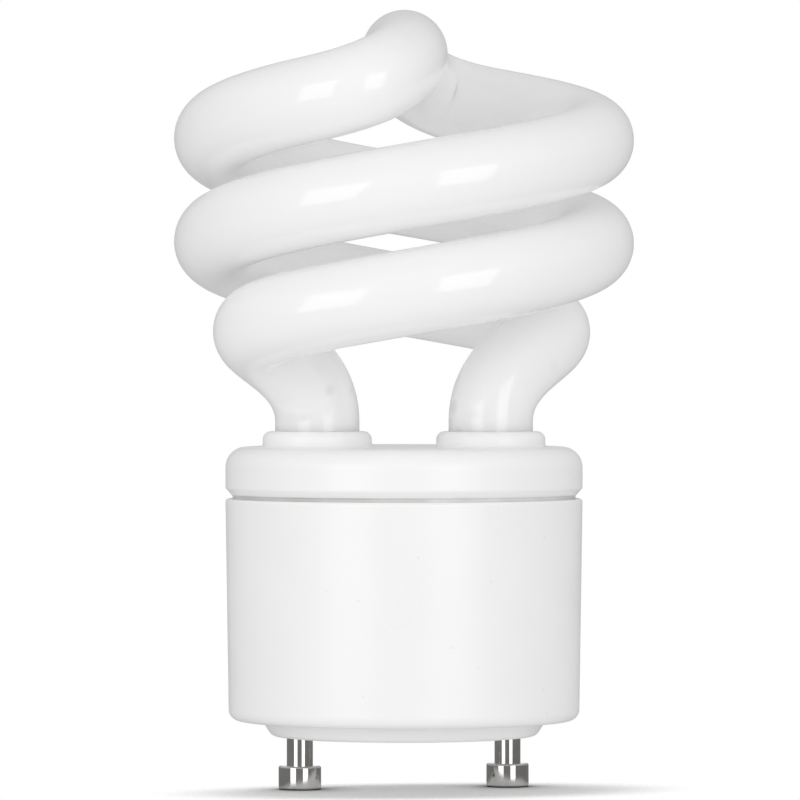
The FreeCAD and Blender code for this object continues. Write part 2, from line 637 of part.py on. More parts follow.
def make_bulk_capacitor():
    body = new_body("bulk_capacitor")
    body.setExpression("Placement.Base.y", "Places.bulk_y")
    profile = new_sketch(body, "XZ_Plane")
    top = "Places.ledge - Sizes.component_gap"
    bottom = f"{top} - Sizes.bulk_length"
    radius = "Sizes.bulk_diameter / 2"
    crimp = "Sizes.bulk_crimp"
    add_outline(profile, [
        ("0", bottom), (radius, bottom), (radius, f"{top} - 5 * {crimp}"),
        (f"{radius} - {crimp}", f"{top} - 4 * {crimp}"), (radius, f"{top} - 3 * {crimp}"),
        (radius, f"{top} - {crimp}"), (f"{radius} - {crimp}", top), ("0", top)])
    turn_profile(body, "Revolution", profile)
    low = place.ledge - size.component_gap - size.bulk_length
    round_off(body, rings(body.Shape, low, size.bulk_diameter / 2), crimp)
    sketch = new_sketch(body, "XY_Plane", top)
    spots = [("-Sizes.bulk_pitch / 2", "0"), ("Sizes.bulk_pitch / 2", "0")]
    add_circles(sketch, [(x, y, "Sizes.lead_diameter / 2") for x, y in spots])
    extrude(body, "Pad", sketch, f"Places.lead_end - ({top})")
    for x, y in spots:
        drill_board(x, "Places.bulk_y")


def make_dipped_capacitor(label, kind, y):
    body = new_body(label)
    bottom = f"Places.ledge - Sizes.component_gap - Sizes.{kind}_height"
    sketch = new_sketch(body, "XY_Plane", bottom)
    add_block(sketch, "0", y, f"Sizes.{kind}_width / 2", f"Sizes.{kind}_thickness / 2")
    extrude(body, "Pad", sketch, f"Sizes.{kind}_height")
    round_off(body, [f"Edge{i + 1}" for i in range(len(body.Shape.Edges))], "Sizes.capacitor_rounding")
    reach = f"(Sizes.{kind}_width / 2 - Sizes.capacitor_inset)"
    start = "Places.ledge - Sizes.component_gap - Sizes.capacitor_rounding"
    add_leads(body, [(f"-{reach}", y), (reach, y)], start)


# Switching transistor: flat case with a hole and three leads

def make_transistor(number, side):
    body = new_body(f"transistor_{number}")
    y = f"{side} * Places.transistor_y"
    bottom = "Places.ledge - Sizes.transistor_drop - Sizes.transistor_height"
    case = new_sketch(body, "XY_Plane", bottom)
    add_block(case, "Places.transistor_x", y, "Sizes.transistor_thickness / 2", "Sizes.transistor_width / 2")
    extrude(body, "Pad", case, "Sizes.transistor_height")
    hole = new_sketch(body, "YZ_Plane")
    add_circles(hole, [(y, f"{bottom} + Sizes.transistor_hole", "Sizes.transistor_hole / 2")])
    through = "2 * (Places.side_x + Sizes.transistor_thickness + Sizes.component_gap)"
    extrude(body, "Pocket", hole, through, both_ways=True)
    spots = [("Places.transistor_x", f"{y} + {i} * Sizes.transistor_pitch") for i in (-1, 0, 1)]
    add_leads(body, spots, "Places.ledge - Sizes.transistor_drop")


# Drive transformer: upright ferrite ring and three windings with straight leads

def make_ring():
    outer = rod("Places.ring_x - Sizes.ring_thickness / 2", "Places.ring_y", "Places.ring_z",
                "Sizes.ring_diameter / 2", "Sizes.ring_thickness")
    inner = rod("Places.ring_x - Sizes.ring_thickness / 2", "Places.ring_y", "Places.ring_z",
                "Sizes.ring_hole / 2", "Sizes.ring_thickness")
    for item in (outer, inner):
        item.Placement.Rotation = Rotation(Vector(0, 1, 0), 90)
    keep(take_away(outer, inner), "ring_core")

    centre = Vector(place.ring_x, place.ring_y, place.ring_z)
    gap = size.joint_clearance
    low = math.sqrt(size.ring_hole ** 2 - size.ring_band ** 2) / 2 - gap
    high = size.ring_diameter / 2 + gap
    half = size.ring_thickness / 2 + gap
    for number, step in enumerate((-1, 0, 1), start=1):
        outside = Part.makeBox(2 * (half + size.ring_wire), size.ring_band, high - low + 2 * size.ring_wire,
                               Vector(-half - size.ring_wire, -size.ring_band / 2, low - size.ring_wire))
        inside = Part.makeBox(2 * half, size.ring_band, high - low, Vector(-half, -size.ring_band / 2, low))
        band = outside.cut(inside)
        band.rotate(Vector(), Vector(1, 0, 0), step * size.ring_spread)
        band.translate(centre)
        angle = math.radians(step * size.ring_spread)
        middle = (low + high) / 2
        x = half + size.ring_wire / 2
        for tail in (-1, 1):
            y = -middle * math.sin(angle) + tail * size.ring_lead_pitch / 2
            spot = centre + Vector(x, y, middle * math.cos(angle))
            band = band.fuse(Part.makeCylinder(size.ring_wire / 2, place.lead_end - spot.z, spot))
            drill_board(str(spot.x), str(spot.y), "Sizes.ring_wire / 2")
        solid_node(f"ring_winding_{number}", band.removeSplitter())


# Diode or resistor stood on end, its lower lead folded back up to the board

def make_axial(label, kind, x, y, fold):
    radius = getattr(size, f"{kind}_diameter") / 2
    length = getattr(size, f"{kind}_length")
    lead = size.lead_diameter / 2
    top = place.ledge - size.axial_drop
    base = Vector(x, y, top - length)
    body = Part.makeCylinder(radius, length, base)
    ends = [edge for edge in body.Edges if edge.Curve.TypeId == "Part::GeomCircle"]
    body = body.makeFillet(getattr(size, f"{kind}_rounding"), ends)
    straight = Part.makeCylinder(lead, place.lead_end - top + radius, Vector(x, y, top - radius))
    below = base - up * fold.Length
    points = [base + up * radius, below, below + fold, Vector(x + fold.x, y + fold.y, place.lead_end)]
    folded = bent_wire(points, size.axial_bend, lead)
    solid_node(label, body.fuse([straight, folded]).removeSplitter())
    for spot in (base, base + fold):
        drill_board(str(spot.x), str(spot.y))


# Wrap post on the board and the lead wire that comes down to it from the glass

def make_post(number, side, hand):
    turn = Rotation(up, size.cover_turn)
    gap = size.joint_clearance
    post = turn.multVec(Vector(side * place.post_x, side * hand * size.post_offset, 0))
    radius, wire = size.post_diameter / 2, size.tube_lead_diameter / 2
    pin = Part.makeCylinder(radius, place.post_top - place.ledge, post + up * place.ledge)
    solid_node(f"wrap_post_{number}", pin)
    board_holes.append((str(post.x), str(post.y), "Sizes.post_diameter / 2 + Sizes.joint_clearance"))

    top = turn.multVec(Vector(side * size.leg_offset, side * hand * size.tube_lead_offset, place.leg_foot))
    corner = top - up * size.tube_lead_drop
    goal = Vector(post.x, post.y, corner.z)
    toward = (goal - corner).normalize()
    coil_radius = radius + wire + gap
    lead = bent_wire([top, corner, goal - toward * coil_radius], size.tube_lead_bend, wire)
    for i in range(wrap_turns):
        lead = lead.fuse(Part.makeTorus(coil_radius, wire, goal - up * (size.wrap_pitch * i)))
    solid_node(f"tube_lead_{number}", lead)


# Circuit board with a hole for each lead and post

def make_board():
    body = new_body("circuit_board")
    disc = new_sketch(body, "XY_Plane", "Places.ledge")
    add_circles(disc, [("0", "0", "Places.board_radius")])
    extrude(body, "Pad", disc, "Sizes.board_thickness")
    holes = new_sketch(body, "XY_Plane", "Places.board_top")
    add_circles(holes, board_holes)
    extrude(body, "Pocket", holes, "Sizes.board_thickness")


make_tube()
make_cover()
make_housing()
for number, side in ((1, -1), (2, 1)):
    make_pin(number, side)
    make_mains_lead(number, side)
    make_cement(number, side)
    make_transistor(number, side)
make_core("choke_core_upper", 1)
make_core("choke_core_lower", -1)
make_bobbin()
make_winding()
make_bulk_capacitor()
make_dipped_capacitor("resonant_capacitor", "film", "Places.film_y")
make_dipped_capacitor("coupling_capacitor", "coupling", "Places.coupling_y")
make_ring()
for row in range(2):
    for column in range(2):
        x = place.diode_x + column * place.diode_step_x
        y = place.diode_y + row * place.diode_step_y
        fold = Vector(0, -place.diode_fold, 0)
        make_axial(f"rectifier_diode_{2 * row + column + 1}", "diode", x, y, fold)
make_axial("fuse_resistor", "fuse", place.fuse_x, place.fuse_y, Vector(place.fuse_fold, 0, 0))
for number, (side, hand) in enumerate(((-1, -1), (-1, 1), (1, -1), (1, 1)), start=1):
    make_post(number, side, hand)
make_board()
doc.recompute()

for item in doc.Objects:
    if "Invalid" in item.State or "Error" in item.State:
        raise RuntimeError(f"{item.Label} did not compute")
os.makedirs("parts", exist_ok=True)
for item in nodes:
    if item.Shape.isNull() or not item.Shape.isValid():
        raise RuntimeError(f"{item.Label} has no valid shape")
    item.Shape.exportStep(f"parts/{item.Label}.step")
    print(item.Label, len(item.Shape.Solids), round(item.Shape.Volume, 2))
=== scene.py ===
import bpy
import json
import math
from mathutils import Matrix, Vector


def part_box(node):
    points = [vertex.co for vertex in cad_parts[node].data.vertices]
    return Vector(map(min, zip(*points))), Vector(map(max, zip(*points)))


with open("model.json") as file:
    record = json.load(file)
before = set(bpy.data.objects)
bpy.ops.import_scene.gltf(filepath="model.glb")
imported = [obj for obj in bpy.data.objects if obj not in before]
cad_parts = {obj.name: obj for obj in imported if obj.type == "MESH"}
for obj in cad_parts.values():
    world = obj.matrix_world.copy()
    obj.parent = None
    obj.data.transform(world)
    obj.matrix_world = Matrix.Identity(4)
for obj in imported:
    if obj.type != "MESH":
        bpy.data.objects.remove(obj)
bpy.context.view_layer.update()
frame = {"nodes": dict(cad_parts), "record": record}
slotOf = {part["node"]: part["material_slot"] for part in frame["record"]["subparts"]}
bpy.ops.object.select_all(action="DESELECT")
print("frame loaded:", len(frame["nodes"]), "nodes")


# small helpers for node trees

def addNode(tree, kind, **settings):
    node = tree.nodes.new(kind)
    for name, value in settings.items():
        setattr(node, name, value)
    return node


def connect(tree, source, target):
    tree.links.new(source, target)


# a plain value is set on the socket, an output is linked to it
def feed(tree, socket, value):
    if isinstance(value, float):
        socket.default_value = value
    elif isinstance(value, tuple):
        socket.default_value = (*value, 1)
    else:
        connect(tree, value, socket)


def newGroup(name, inputs, outputs):
    group = bpy.data.node_groups.new(name, "ShaderNodeTree")
    for socketName in inputs:
        group.interface.new_socket(socketName, in_out="INPUT", socket_type="NodeSocketFloat")
    for socketName in outputs:
        group.interface.new_socket(socketName, in_out="OUTPUT", socket_type="NodeSocketFloat")
    return group, group.nodes.new("NodeGroupInput"), group.nodes.new("NodeGroupOutput")


def useGroup(tree, group, **values):
    node = tree.nodes.new("ShaderNodeGroup")
    node.node_tree = group
    for name, value in values.items():
        node.inputs[name].default_value = value
    return node


def startMaterial(name):
    material = bpy.data.materials.new(name)
    material.use_nodes = True
    tree = material.node_tree
    return material, tree, tree.nodes["Principled BSDF"]


# places of A, B and Result on a Mix node, which has one set for each kind of data
mixSockets = {"RGBA": (6, 7, 2), "FLOAT": (2, 3, 0)}


def mixByMask(tree, kind, mask, low, high):
    first, second, result = mixSockets[kind]
    mix = addNode(tree, "ShaderNodeMix", data_type=kind)
    connect(tree, mask, mix.inputs["Factor"])
    feed(tree, mix.inputs[first], low)
    feed(tree, mix.inputs[second], high)
    return mix.outputs[result]


def mixColours(tree, mask, dark, light):
    return mixByMask(tree, "RGBA", mask, dark, light)


def mixValues(tree, mask, low, high):
    return mixByMask(tree, "FLOAT", mask, low, high)


def combine(tree, operation, first, second):
    node = addNode(tree, "ShaderNodeMath", operation=operation)
    feed(tree, node.inputs[0], first)
    feed(tree, node.inputs[1], second)
    return node.outputs["Value"]


def multiply(tree, first, second):
    return combine(tree, "MULTIPLY", first, second)


def larger(tree, first, second):
    return combine(tree, "MAXIMUM", first, second)


def invert(tree, mask):
    return combine(tree, "SUBTRACT", 1.0, mask)


# a 0 to 1 mask moved to another range
def remap(tree, value, low, high):
    node = addNode(tree, "ShaderNodeMapRange")
    node.inputs["To Min"].default_value = low
    node.inputs["To Max"].default_value = high
    connect(tree, value, node.inputs["Value"])
    return node.outputs["Result"]


# 0 before the start, 1 after the end, soft between
def ramp(tree, value, start, end, curve="SMOOTHSTEP"):
    node = addNode(tree, "ShaderNodeMapRange", interpolation_type=curve)
    feed(tree, node.inputs["From Min"], start)
    feed(tree, node.inputs["From Max"], end)
    connect(tree, value, node.inputs["Value"])
    return node.outputs["Result"]


def addBump(tree, shader, height, strength, distance):
    bump = addNode(tree, "ShaderNodeBump")
    bump.inputs["Strength"].default_value = strength
    bump.inputs["Distance"].default_value = distance
    connect(tree, height, bump.inputs["Height"])
    connect(tree, bump.outputs["Normal"], shader.inputs["Normal"])


# shared surface effects

grainShape = {"spread": (0.2, 0.8), "grainDetail": 3.0, "blotchDetail": 2.0}
ringShape = {"detailScale": 3.0}
fleckShape = {"rim": 0.5, "core": 0.15}  # in cell widths
softEdge = 0.00005  # of a mask, where a finish names no other
upward, downward = (0.0, 0.0, 1.0), (0.0, 0.0, -1.0)


# soft noise: grain where it is fine, blotches where it is coarse
def makeGrainGroup():
    group, start, end = newGroup("mouldGrain", ["Scale", "Detail"], ["Grain"])
    place = addNode(group, "ShaderNodeTexCoord")
    noise = addNode(group, "ShaderNodeTexNoise")
    connect(group, place.outputs["Object"], noise.inputs["Vector"])
    connect(group, start.outputs["Scale"], noise.inputs["Scale"])
    connect(group, start.outputs["Detail"], noise.inputs["Detail"])
    grain = ramp(group, noise.outputs["Fac"], *grainShape["spread"], "SMOOTHERSTEP")
    connect(group, grain, end.inputs["Grain"])
    return group


# fine bands along the lamp axis, as a lathe or a winding leaves them, turned about X where asked
def makeRingGroup():
    group, start, end = newGroup("turnedRings", ["Rings", "Wobble", "Turn"], ["Ring"])
    place = addNode(group, "ShaderNodeTexCoord")
    lean = addNode(group, "ShaderNodeVectorRotate", rotation_type="X_AXIS")
    connect(group, place.outputs["Object"], lean.inputs["Vector"])
    connect(group, start.outputs["Turn"], lean.inputs["Angle"])
    wave = addNode(group, "ShaderNodeTexWave", wave_type="BANDS", bands_direction="Z", wave_profile="SIN")
    wave.inputs["Detail Scale"].default_value = ringShape["detailScale"]
    connect(group, lean.outputs["Vector"], wave.inputs["Vector"])
    connect(group, start.outputs["Rings"], wave.inputs["Scale"])
    connect(group, start.outputs["Wobble"], wave.inputs["Distortion"])
    connect(group, wave.outputs["Fac"], end.inputs["Ring"])
    return group


# 1 beyond a level in one direction, 0 before it
def makePlaneGroup():
    group, start, end = newGroup("planeMask", ["X", "Y", "Z", "Low", "High"], ["Mask"])
    place = addNode(group, "ShaderNodeTexCoord")
    way = addNode(group, "ShaderNodeCombineXYZ")
    for axis in "XYZ":
        connect(group, start.outputs[axis], way.inputs[axis])
    reach = addNode(group, "ShaderNodeVectorMath", operation="DOT_PRODUCT")
    connect(group, place.outputs["Object"], reach.inputs[0])
    connect(group, way.outputs["Vector"], reach.inputs[1])
    mask = ramp(group, reach.outputs["Value"], start.outputs["Low"], start.outputs["High"])
    connect(group, mask, end.inputs["Mask"])
    return group


# 1 outside an upright column, 0 inside it
def makeColumnGroup():
    group, start, end = newGroup("columnMask", ["Centre X", "Centre Y", "Radius"], ["Mask"])
    place = addNode(group, "ShaderNodeTexCoord")
    centre = addNode(group, "ShaderNodeCombineXYZ")
    connect(group, start.outputs["Centre X"], centre.inputs["X"])
    connect(group, start.outputs["Centre Y"], centre.inputs["Y"])
    offset = addNode(group, "ShaderNodeVectorMath", operation="SUBTRACT")
    connect(group, place.outputs["Object"], offset.inputs[0])
    connect(group, centre.outputs["Vector"], offset.inputs[1])
    level = addNode(group, "ShaderNodeVectorMath", operation="MULTIPLY")
    level.inputs[1].default_value = (1, 1, 0)
    connect(group, offset.outputs["Vector"], level.inputs[0])
    reach = addNode(group, "ShaderNodeVectorMath", operation="LENGTH")
    connect(group, level.outputs["Vector"], reach.inputs[0])
    outside = combine(group, "GREATER_THAN", reach.outputs["Value"], start.outputs["Radius"])
    connect(group, outside, end.inputs["Mask"])
    return group


# scattered flecks: the share of cells that carry one, each with a soft edge
def makeFleckGroup():
    group, start, end = newGroup("mineralFleck", ["Scale", "Share"], ["Fleck"])
    place = addNode(group, "ShaderNodeTexCoord")
    cells = addNode(group, "ShaderNodeTexVoronoi")
    connect(group, place.outputs["Object"], cells.inputs["Vector"])
    connect(group, start.outputs["Scale"], cells.inputs["Scale"])
    split = addNode(group, "ShaderNodeSeparateColor")
    connect(group, cells.outputs["Color"], split.inputs["Color"])
    chosen = combine(group, "LESS_THAN", split.outputs["Red"], start.outputs["Share"])
    near = ramp(group, cells.outputs["Distance"], fleckShape["rim"], fleckShape["core"])
    connect(group, multiply(group, chosen, near), end.inputs["Fleck"])
    return group


grainGroup = makeGrainGroup()
ringGroup = makeRingGroup()
planeGroup = makePlaneGroup()
columnGroup = makeColumnGroup()
fleckGroup = makeFleckGroup()
print("surface effects ready")


def addGrain(tree, scale):
    return useGroup(tree, grainGroup, Scale=scale, Detail=grainShape["grainDetail"]).outputs["Grain"]


def addBlotches(tree, scale):
    return useGroup(tree, grainGroup, Scale=scale, Detail=grainShape["blotchDetail"]).outputs["Grain"]


def addRings(tree, rings, wobble, turn=0.0):
    return useGroup(tree, ringGroup, Rings=rings, Wobble=wobble, Turn=turn).outputs["Ring"]


def addFlecks(tree, scale, share):
    return useGroup(tree, fleckGroup, Scale=scale, Share=share).outputs["Fleck"]


def beyond(tree, level, soft=softEdge, way=upward):
    node = useGroup(tree, planeGroup, X=way[0], Y=way[1], Z=way[2], Low=level, High=level + soft)
    return node.outputs["Mask"]


def outsideColumn(tree, centre, radius):
    node = useGroup(tree, columnGroup, Radius=radius, **{"Centre X": centre[0], "Centre Y": centre[1]})
    return node.outputs["Mask"]


# the two colours of a finish in soft blotches
def addCloudyColour(tree, finish):
    return mixColours(tree, addBlotches(tree, finish["blotchScale"]), finish["low"], finish["high"])


# glass tube: white coating seen through clear glass, a little patchy at the legs, with painted shade on the
# legs just above the collars
tubeFinish = {
    "coating": (0.95, 0.95, 0.95),
    "dense": (0.965, 0.965, 0.96),
    "denseShare": 0.25,
    "legFootShade": (0.90, 0.90, 0.905),
    "legFleckTone": (0.70, 0.70, 0.71),
    "collarFade": (0.0395, 0.0020),  # level and length of the painted shade at the leg ends
    "legFleckFade": (0.0440, 0.0060),
    "legFleckScale": 430.0,
    "legFleckShare": 0.16,
    "legFleckDepth": 0.4,
    "roughness": (0.02, 0.035),
    "limbRoughness": 0.26,  # reflections soften where the glass is seen at a flat angle
    "limb": (0.45, 0.72),  # where that starts and where it is full
    "waveScale": 70.0,
    "wave": (0.2, 0.00005),  # strength and depth, as for every bump
    "scatter": 0.8,
    "scatterDepth": 0.004,
    "glassIor": 1.5,
}


def makeTubeGlass():
    material, tree, shader = startMaterial("coatedGlass")
    waves = addBlotches(tree, tubeFinish["waveScale"])
    aboveCollar = beyond(tree, *tubeFinish["collarFade"])
    # painted shade where the legs enter the collars
    coating = mixColours(tree, aboveCollar, tubeFinish["legFootShade"], tubeFinish["coating"])
    cloudy = mixColours(tree, remap(tree, waves, 0.0, tubeFinish["denseShare"]), coating, tubeFinish["dense"])
    # darker flecks, only on the lower part of the legs
    flecks = addFlecks(tree, tubeFinish["legFleckScale"], tubeFinish["legFleckShare"])
    low = remap(tree, beyond(tree, *tubeFinish["legFleckFade"]), tubeFinish["legFleckDepth"], 0.0)
    patchy = mixColours(tree, multiply(tree, flecks, low), cloudy, tubeFinish["legFleckTone"])
    connect(tree, patchy, shader.inputs["Base Color"])
    slant = addNode(tree, "ShaderNodeLayerWeight")
    limb = ramp(tree, slant.outputs["Facing"], *tubeFinish["limb"])
    polish = remap(tree, waves, *tubeFinish["roughness"])
    connect(tree, mixValues(tree, limb, polish, tubeFinish["limbRoughness"]), shader.inputs["Roughness"])
    shader.inputs["IOR"].default_value = tubeFinish["glassIor"]
    shader.inputs["Subsurface Weight"].default_value = tubeFinish["scatter"]
    shader.inputs["Subsurface Radius"].default_value = (1, 1, 1)
    shader.inputs["Subsurface Scale"].default_value = tubeFinish["scatterDepth"]
    addBump(tree, shader, waves, *tubeFinish["wave"])
    return material


# white moulded plastic of the housing and the cover, with painted shade in the gap between them
plasticFinish = {
    "low": (0.945, 0.945, 0.945),
    "high": (0.96, 0.96, 0.958),
    "speck": (0.84, 0.83, 0.81),
    "roughness": (0.27, 0.34),
    "grainScale": 2600.0,
    "blotchScale": 110.0,
    "speckScale": 1900.0,
    "speckShare": 0.004,
    "speckDepth": 0.6,
    "grainBump": (0.06, 0.000006),
    "plasticIor": 1.49,
    "gapShade": (0.60, 0.595, 0.58),
    "gapLevels": (0.03262, 0.03318),
    "gapRadius": 0.01972,
    "gapSoft": 0.00008,
    "gapShare": (0.35, 1.0),
}


# painted shade in the gap: 1 deep in the gap, less where the blotches are low
def addGapShade(tree, blotch):
    bottom, top = plasticFinish["gapLevels"]
    aboveBottom = beyond(tree, bottom, plasticFinish["gapSoft"])
    aboveTop = beyond(tree, top, plasticFinish["gapSoft"])
    between = combine(tree, "SUBTRACT", aboveBottom, aboveTop)
    deep = invert(tree, outsideColumn(tree, (0.0, 0.0), plasticFinish["gapRadius"]))
    uneven = remap(tree, blotch, *plasticFinish["gapShare"])
    return multiply(tree, multiply(tree, between, deep), uneven)


def makeWhitePlastic():
    material, tree, shader = startMaterial("whiteMouldedPlastic")
    grain = addGrain(tree, plasticFinish["grainScale"])
    blotch = addBlotches(tree, plasticFinish["blotchScale"])
    colour = mixColours(tree, blotch, plasticFinish["low"], plasticFinish["high"])
    specks = addFlecks(tree, plasticFinish["speckScale"], plasticFinish["speckShare"])
    faint = multiply(tree, specks, plasticFinish["speckDepth"])
    specked = mixColours(tree, faint, colour, plasticFinish["speck"])
    # painted shade darkens the gap between housing and cover
    gapShaded = mixColours(tree, addGapShade(tree, blotch), specked, plasticFinish["gapShade"])
    connect(tree, gapShaded, shader.inputs["Base Color"])
    connect(tree, remap(tree, blotch, *plasticFinish["roughness"]), shader.inputs["Roughness"])
    shader.inputs["IOR"].default_value = plasticFinish["plasticIor"]
    addBump(tree, shader, grain, *plasticFinish["grainBump"])
    return material


# nickel plated pins with lathe marks, worn at the foot where they slide in the socket
pinFinish = {
    "low": (0.58, 0.57, 0.555),
    "high": (0.68, 0.67, 0.65),
    "worn": (0.50, 0.48, 0.45),
    "wornLevel": (-0.0007, 0.0006),  # measured downwards, with its soft edge
    "roughness": (0.05, 0.09),
    "rings": 1400.0,
    "ringWobble": 0.6,
    "ringBump": (0.03, 0.000002),
    "blotchScale": 400.0,
    "scuffScale": 1500.0,
    "scuffShare": 0.35,
}


def makePinMetal():
    material, tree, shader = startMaterial("nickelPlate")
    blotch = addBlotches(tree, pinFinish["blotchScale"])
    colour = mixColours(tree, blotch, pinFinish["low"], pinFinish["high"])
    foot = beyond(tree, *pinFinish["wornLevel"], downward)
    scuffs = addFlecks(tree, pinFinish["scuffScale"], pinFinish["scuffShare"])
    worn = mixColours(tree, multiply(tree, foot, scuffs), colour, pinFinish["worn"])
    connect(tree, worn, shader.inputs["Base Color"])
    connect(tree, remap(tree, blotch, *pinFinish["roughness"]), shader.inputs["Roughness"])
    shader.inputs["Metallic"].default_value = 1.0
    rings = addRings(tree, pinFinish["rings"], pinFinish["ringWobble"])
    addBump(tree, shader, rings, *pinFinish["ringBump"])
    return material


# pale gritty cement that holds the legs
cementFinish = {
    "low": (0.66, 0.63, 0.57),
    "high": (0.84, 0.82, 0.77),
    "grit": (0.45, 0.43, 0.40),
    "gritScale": 2200.0,
    "gritShare": 0.3,
    "gritDepth": 0.6,
    "grainScale": 2600.0,
    "blotchScale": 350.0,
    "roughness": (0.75, 0.95),
    "bump": (0.5, 0.00012),
}


def makeCement():
    material, tree, shader = startMaterial("fillingCement")
    grain = addGrain(tree, cementFinish["grainScale"])
    grit = addFlecks(tree, cementFinish["gritScale"], cementFinish["gritShare"])
    faint = remap(tree, grit, 0.0, cementFinish["gritDepth"])
    gritty = mixColours(tree, faint, addCloudyColour(tree, cementFinish), cementFinish["grit"])
    connect(tree, gritty, shader.inputs["Base Color"])
    connect(tree, remap(tree, grain, *cementFinish["roughness"]), shader.inputs["Roughness"])
    addBump(tree, shader, combine(tree, "ADD", grain, grit), *cementFinish["bump"])
    return material


# pressed ferrite with crystal grains, their colour lightened as a painted glint
ferriteFinish = {
    "low": (0.035, 0.035, 0.038),
    "high": (0.075, 0.075, 0.08),
    "crystal": (0.20, 0.20, 0.21),
    "crystalScale": 5200.0,
    "crystalShare": 0.22,
    "crystalRoughness": 0.3,
    "grainScale": 4200.0,
    "blotchScale": 500.0,
    "roughness": (0.55, 0.8),
    "bump": (0.3, 0.00003),
}


def makeFerrite():
    material, tree, shader = startMaterial("pressedFerrite")
    grain = addGrain(tree, ferriteFinish["grainScale"])
    crystals = addFlecks(tree, ferriteFinish["crystalScale"], ferriteFinish["crystalShare"])
    # crystal grains painted lighter, standing in for glints
    colour = mixColours(tree, crystals, addCloudyColour(tree, ferriteFinish), ferriteFinish["crystal"])
    connect(tree, colour, shader.inputs["Base Color"])
    dull = remap(tree, grain, *ferriteFinish["roughness"])
    roughness = mixValues(tree, crystals, dull, ferriteFinish["crystalRoughness"])
    connect(tree, roughness, shader.inputs["Roughness"])
    addBump(tree, shader, grain, *ferriteFinish["bump"])
    return material


# tinned wire, alone or as the leads of a component
tinFinish = {
    "low": (0.62, 0.62, 0.61),
    "high": (0.76, 0.76, 0.74),
    "grainScale": 3600.0,
    "blotchScale": 900.0,
    "roughness": (0.22, 0.42),
    "rings": 900.0,
    "ringWobble": 4.0,
    "ringBump": (0.1, 0.00001),
}


def addTin(tree):
    roughness = remap(tree, addGrain(tree, tinFinish["grainScale"]), *tinFinish["roughness"])
    return addCloudyColour(tree, tinFinish), roughness


def makeTinnedWire():
    material, tree, shader = startMaterial("tinnedWire")
    colour, roughness = addTin(tree)
    connect(tree, colour, shader.inputs["Base Color"])
    connect(tree, roughness, shader.inputs["Roughness"])
    shader.inputs["Metallic"].default_value = 1.0
    rings = addRings(tree, tinFinish["rings"], tinFinish["ringWobble"])
    addBump(tree, shader, rings, *tinFinish["ringBump"])
    return material


# a body finish with tinned leads where the mask is 1
def finishWithLeads(tree, shader, leads, colour, roughness):
    tinColour, tinRoughness = addTin(tree)
    connect(tree, mixColours(tree, leads, colour, tinColour), shader.inputs["Base Color"])
    connect(tree, mixValues(tree, leads, roughness, tinRoughness), shader.inputs["Roughness"])
    connect(tree, leads, shader.inputs["Metallic"])


# black nylon bobbin with glass fibre in it and tinned pins above its flange
bobbinFinish = {
    "low": (0.025, 0.025, 0.026),
    "high": (0.05, 0.05, 0.052),
    "fibre": (0.13, 0.13, 0.13),
    "fibreScale": 3400.0,
    "fibreShare": 0.12,
    "grainScale": 2400.0,
    "blotchScale": 260.0,
    "roughness": (0.38, 0.55),
    "bump": (0.2, 0.00002),
    "pinLevel": 0.02576,
}


def makeBobbin():
    material, tree, shader = startMaterial("bobbinNylon")
    grain = addGrain(tree, bobbinFinish["grainScale"])
    fibres = addFlecks(tree, bobbinFinish["fibreScale"], bobbinFinish["fibreShare"])
    colour = mixColours(tree, fibres, addCloudyColour(tree, bobbinFinish), bobbinFinish["fibre"])
    roughness = remap(tree, grain, *bobbinFinish["roughness"])
    finishWithLeads(tree, shader, beyond(tree, bobbinFinish["pinLevel"]), colour, roughness)
    addBump(tree, shader, grain, *bobbinFinish["bump"])
    return material


# circuit board: paper laminate below, green mask with bright tracks on the solder side
boardFinish = {
    "low": (0.46, 0.33, 0.16),
    "high": (0.60, 0.46, 0.25),
    "maskLow": (0.02, 0.16, 0.07),
    "maskHigh": (0.03, 0.22, 0.10),
    "track": (0.10, 0.36, 0.17),
    "solderSide": (0.02950, 0.00002),  # level and soft edge
    "grainScale": 2600.0,
    "blotchScale": 300.0,
    "weaveScale": 420.0,
    "weaveWobble": 0.6,
    "trackScale": 150.0,
    "trackEdge": (0.10, 0.16),
    "roughness": (0.55, 0.75),
    "maskRoughness": 0.28,
    "bump": (0.4, 0.00003),
}


def addBoardWeave(tree, place):
    strands = []
    for direction in "XY":
        wave = addNode(tree, "ShaderNodeTexWave", wave_type="BANDS", bands_direction=direction)
        wave.inputs["Scale"].default_value = boardFinish["weaveScale"]
        wave.inputs["Distortion"].default_value = boardFinish["weaveWobble"]
        connect(tree, place.outputs["Object"], wave.inputs["Vector"])
        strands.append(wave.outputs["Fac"])
    return multiply(tree, *strands)


def addBoardTracks(tree, place):
    lanes = addNode(tree, "ShaderNodeTexVoronoi", feature="DISTANCE_TO_EDGE")
    lanes.inputs["Scale"].default_value = boardFinish["trackScale"]
    connect(tree, place.outputs["Object"], lanes.inputs["Vector"])
    return ramp(tree, lanes.outputs["Distance"], *boardFinish["trackEdge"])


def makeBoard():
    material, tree, shader = startMaterial("boardLaminate")
    grain = addGrain(tree, boardFinish["grainScale"])
    blotch = addBlotches(tree, boardFinish["blotchScale"])
    place = addNode(tree, "ShaderNodeTexCoord")
    weave = addBoardWeave(tree, place)
    tracks = addBoardTracks(tree, place)
    paper = mixColours(tree, multiply(tree, weave, blotch), boardFinish["low"], boardFinish["high"])
    green = mixColours(tree, blotch, boardFinish["maskLow"], boardFinish["maskHigh"])
    printed = mixColours(tree, tracks, green, boardFinish["track"])
    solderSide = beyond(tree, *boardFinish["solderSide"])
    connect(tree, mixColours(tree, solderSide, paper, printed), shader.inputs["Base Color"])
    dull = remap(tree, grain, *boardFinish["roughness"])
    roughness = mixValues(tree, solderSide, dull, boardFinish["maskRoughness"])
    connect(tree, roughness, shader.inputs["Roughness"])
    addBump(tree, shader, mixValues(tree, solderSide, weave, tracks), *boardFinish["bump"])
    return material


